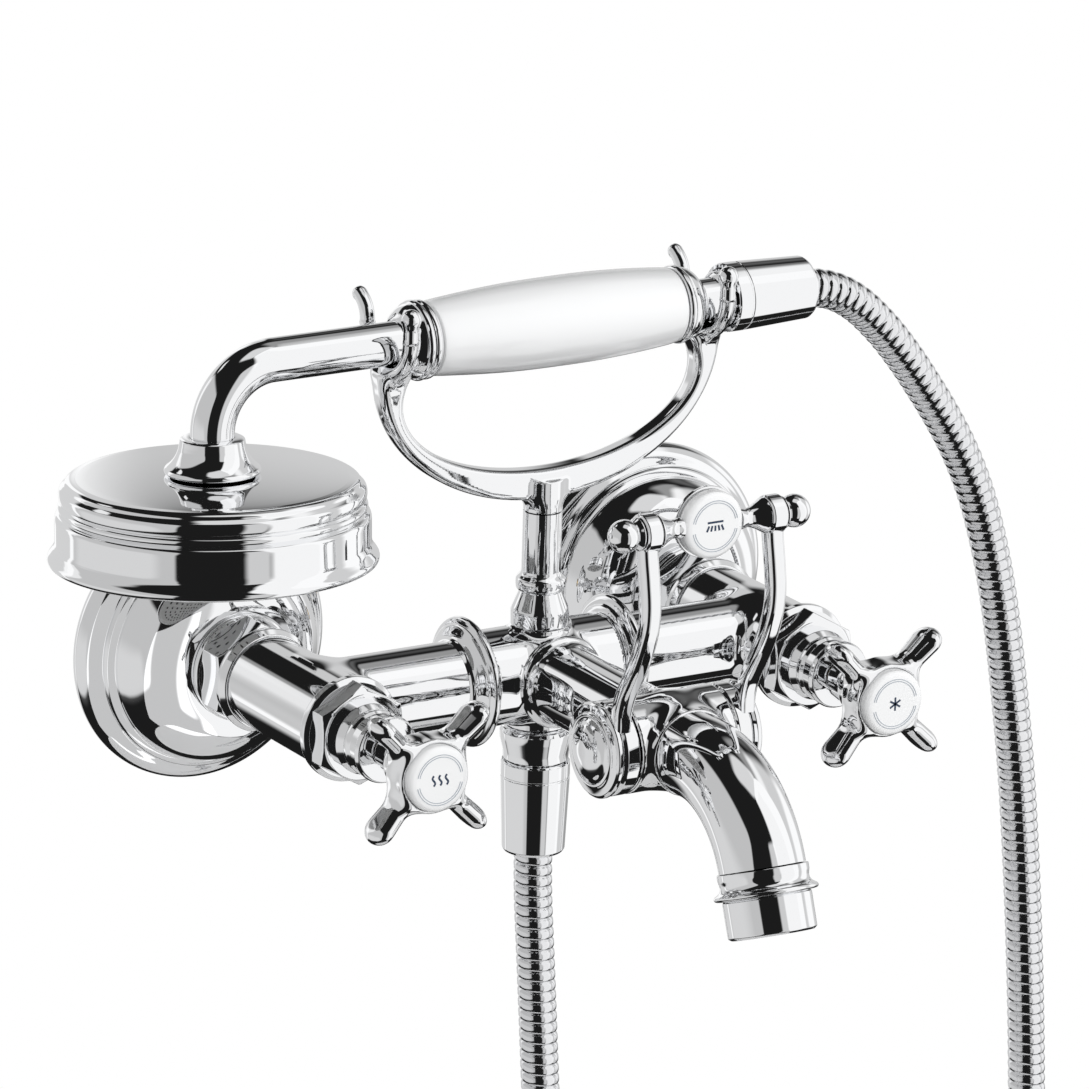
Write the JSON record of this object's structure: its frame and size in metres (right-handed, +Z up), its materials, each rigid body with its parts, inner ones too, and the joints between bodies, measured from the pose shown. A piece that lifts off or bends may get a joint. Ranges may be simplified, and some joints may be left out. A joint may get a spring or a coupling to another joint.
{
  "type": "wall mounted bath and shower faucet",
  "caption": "Wall mounted bath faucet with cross handles, curved spout, lever diverter, hose and a hand shower that rests in a forked cradle.",
  "frame": {"origin": "on the finished wall, midway between the two wall inlets", "axes": "+X towards the cold inlet, which is on the user's right; +Y into the wall; +Z up"},
  "size_m": [0.4265, 0.2789, 0.6717],
  "materials": {
    "chrome": "polished",
    "porcelain": "glazed white porcelain",
    "brass": "machined",
    "rubber": "matt",
    "ceramic_disc": "lapped alumina",
    "steel": "stainless",
    "plastic": "moulded",
    "hose_metal": "interlocked metal hose, polished"
  },
  "bodies": {
    "body": {"wall_escutcheon_hot": "chrome", "wall_escutcheon_cold": "chrome", "inlet_unions": "brass", "union_washers": "rubber", "union_nut_hot": "chrome", "union_nut_cold": "chrome", "mixer_body": "chrome", "cartridge_sleeves": "brass", "fixed_ceramic_discs": "ceramic_disc", "bonnet_hot": "chrome", "bonnet_cold": "chrome", "gland_nuts": "chrome", "cradle_pillar": "chrome", "cradle": "chrome", "shower_outlet": "chrome", "check_valve_body": "plastic", "check_spring": "steel", "hose_washer_lower": "rubber", "hose_tail_lower": "brass", "hose": "hose_metal", "spout_shank": "chrome", "spout_tube": "chrome", "spout_ring": "chrome", "aerator_housing": "chrome", "aerator_insert": "plastic", "diverter_bushes": "brass", "shaft_seals": "rubber"},
    "hot_handle": {"spindle_hot": "brass", "turning_disc_hot": "ceramic_disc", "cross_handle_hot": "chrome", "handle_screw_hot": "steel", "index_disc_hot": "porcelain"},
    "cold_handle": {"spindle_cold": "brass", "turning_disc_cold": "ceramic_disc", "cross_handle_cold": "chrome", "handle_screw_cold": "steel", "index_disc_cold": "porcelain"},
    "diverter_lever": {"diverter_shaft": "brass", "lever_arms": "chrome", "lever_crossbar": "chrome", "lever_balls": "chrome", "index_disc_shower": "porcelain", "diverter_caps": "chrome"},
    "diverter_valve": {"diverter_rod": "brass", "diverter_washer": "rubber"},
    "check_valve": {"check_poppet": "plastic"},
    "lower_hose_nut": {"hose_nut_lower": "chrome"},
    "hand_shower": {"handset_pipe": "chrome", "head_collar": "chrome", "head_shell": "chrome", "spray_plate": "plastic", "spray_nozzles": "rubber", "ferrule_left": "chrome", "handset_grip": "porcelain", "ferrule_right": "chrome", "handset_core": "brass", "handset_tail": "chrome", "hose_tail_upper": "brass", "hose_washer_upper": "rubber"},
    "upper_hose_nut": {"hose_nut_upper": "chrome"}
  },
  "joints": [
    {"name": "hot_turn", "type": "hinge", "parent": "body", "child": "hot_handle", "pos_m": [-0.094, -0.168, 0], "axis": [0, 1, 0], "range_deg": [0, 90]},
    {"name": "cold_turn", "type": "hinge", "parent": "body", "child": "cold_handle", "pos_m": [0.094, -0.168, 0], "axis": [0, -1, 0], "range_deg": [0, 90]},
    {"name": "diverter_turn", "type": "hinge", "parent": "body", "child": "diverter_lever", "pos_m": [0, -0.173, 0], "axis": [1, 0, 0], "range_deg": [0, 50]},
    {"name": "diverter_slide", "type": "slide", "parent": "body", "child": "diverter_valve", "axis": [0, 1, 0], "range_m": [0, 0.006]},
    {"name": "check_open", "type": "slide", "parent": "body", "child": "check_valve", "axis": [0, 0, -1], "range_m": [0, 0.002], "stiffness_N_per_m": 50, "deforming": ["check_spring"]},
    {"name": "lower_nut_turn", "type": "hinge", "parent": "body", "child": "lower_hose_nut", "pos_m": [0, -0.0867, -0.05], "axis": [0, 0, 1], "continuous": true},
    {"name": "hand_shower_lift", "type": "slide", "parent": "body", "child": "hand_shower", "axis": [0, 0, 1], "range_m": [0, 0.08]},
    {"name": "upper_nut_turn", "type": "hinge", "parent": "hand_shower", "child": "upper_hose_nut", "pos_m": [0.09, -0.0867, 0.1298], "axis": [1, 0, 0], "continuous": true}
  ],
  "couplings": [
    {"joint": "diverter_slide", "follows": "diverter_turn", "m_per_rad": 0.006775}
  ]
}
